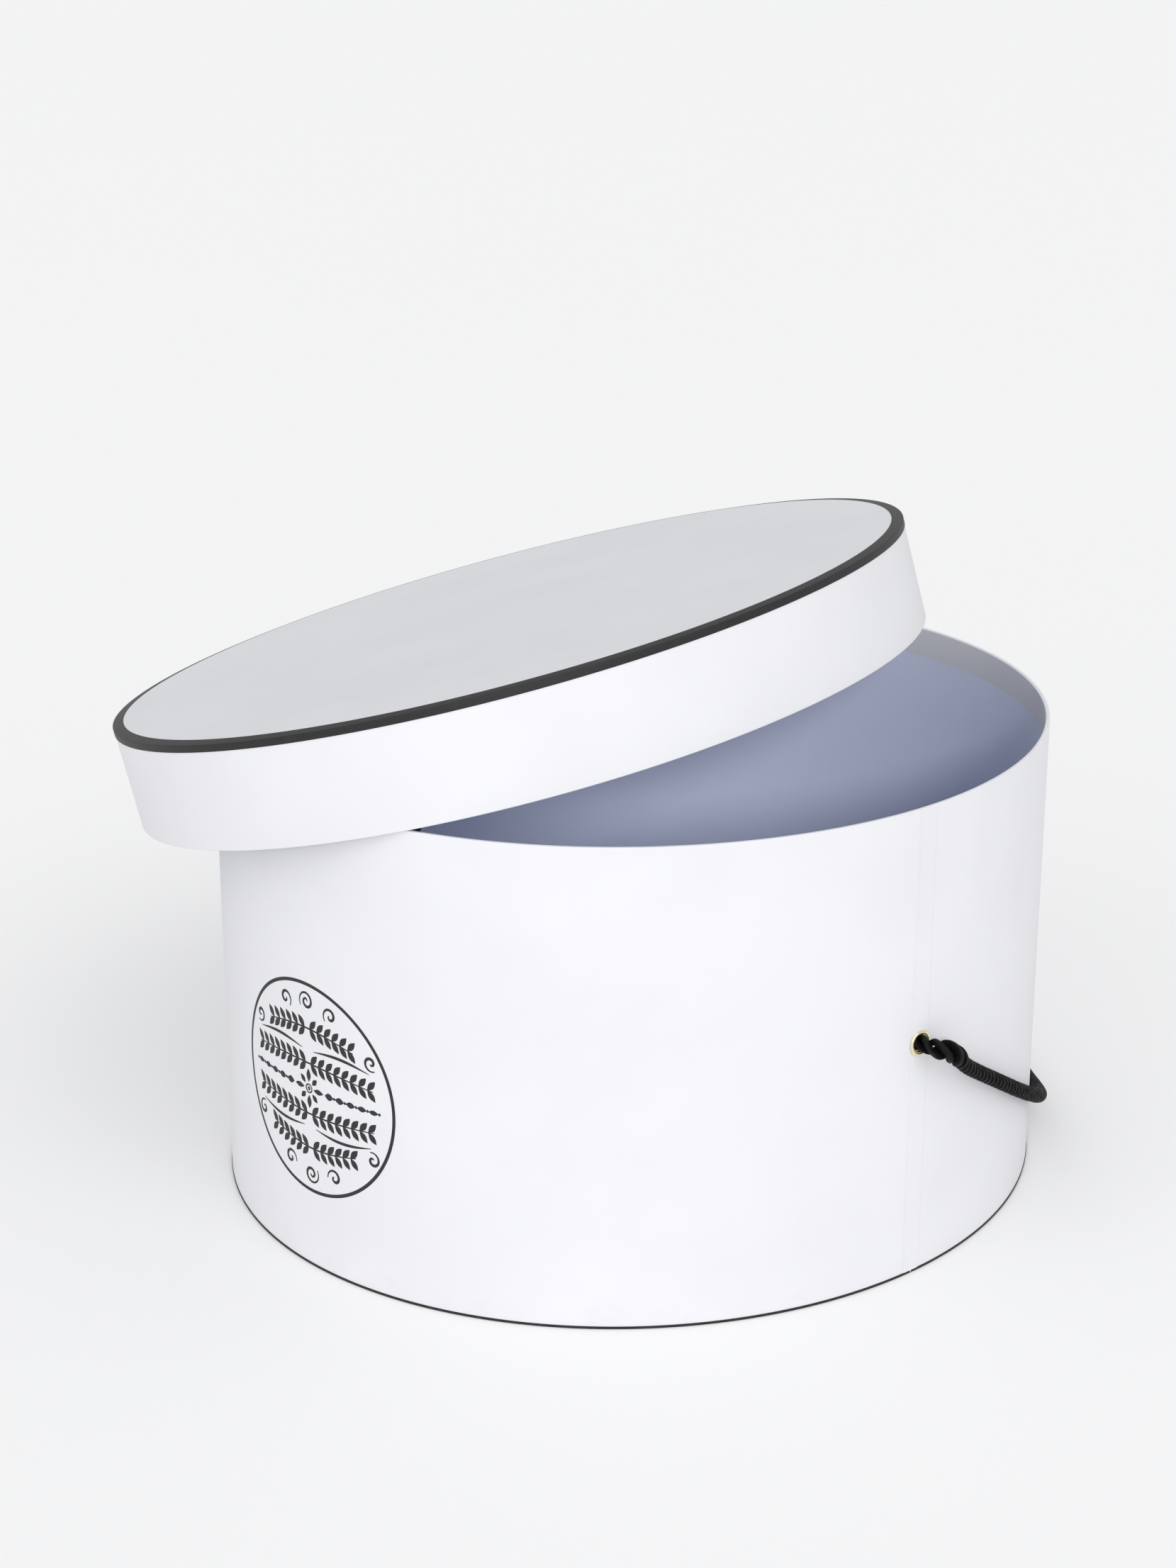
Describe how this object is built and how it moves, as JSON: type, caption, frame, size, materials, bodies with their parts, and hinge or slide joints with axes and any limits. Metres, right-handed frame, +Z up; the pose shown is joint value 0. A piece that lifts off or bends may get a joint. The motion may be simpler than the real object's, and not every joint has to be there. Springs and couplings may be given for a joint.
{
  "type": "hat box",
  "caption": "Slightly oval paper-covered hat box with black edge tape, a twisted cord handle through brass eyelets, and its shallow lid laid leaning across the rim.",
  "frame": {"origin": "centre of the underside of the drum, on the surface it stands on", "axes": "+Z up; -Y is the front, with the round ornament; X runs across the oval, from eyelet to eyelet; Y runs along it"},
  "size_m": [0.4441, 0.4477, 0.3049],
  "materials": {
    "white_paper": "smooth, faint satin",
    "lining_paper": "matt",
    "grey_board": "matt",
    "black_tape": "fine-grained, slight sheen",
    "black_cord": "twisted, satin",
    "pale_brass": "polished"
  },
  "bodies": {
    "box": {"wall_board": "grey_board", "wall_cover": "white_paper", "wall_lining": "lining_paper", "base_board": "grey_board", "base_lining": "lining_paper", "base_cover": "white_paper", "base_edge_tape": "black_tape", "handle_cord": "black_cord", "eyelet_right": "pale_brass", "eyelet_washer_right": "pale_brass", "cord_knot_right": "black_cord", "eyelet_left": "pale_brass", "eyelet_washer_left": "pale_brass", "cord_knot_left": "black_cord"},
    "lid": {"lid_top_board": "grey_board", "lid_top_paper": "white_paper", "lid_top_lining": "lining_paper", "lid_skirt_board": "grey_board", "lid_skirt_cover": "white_paper", "lid_skirt_lining": "lining_paper", "lid_edge_tape": "black_tape"}
  },
  "joints": [
    {"name": "lid_lift", "type": "slide", "parent": "box", "child": "lid", "axis": [0, 0, 1], "range_m": [0, 0.15]}
  ]
}
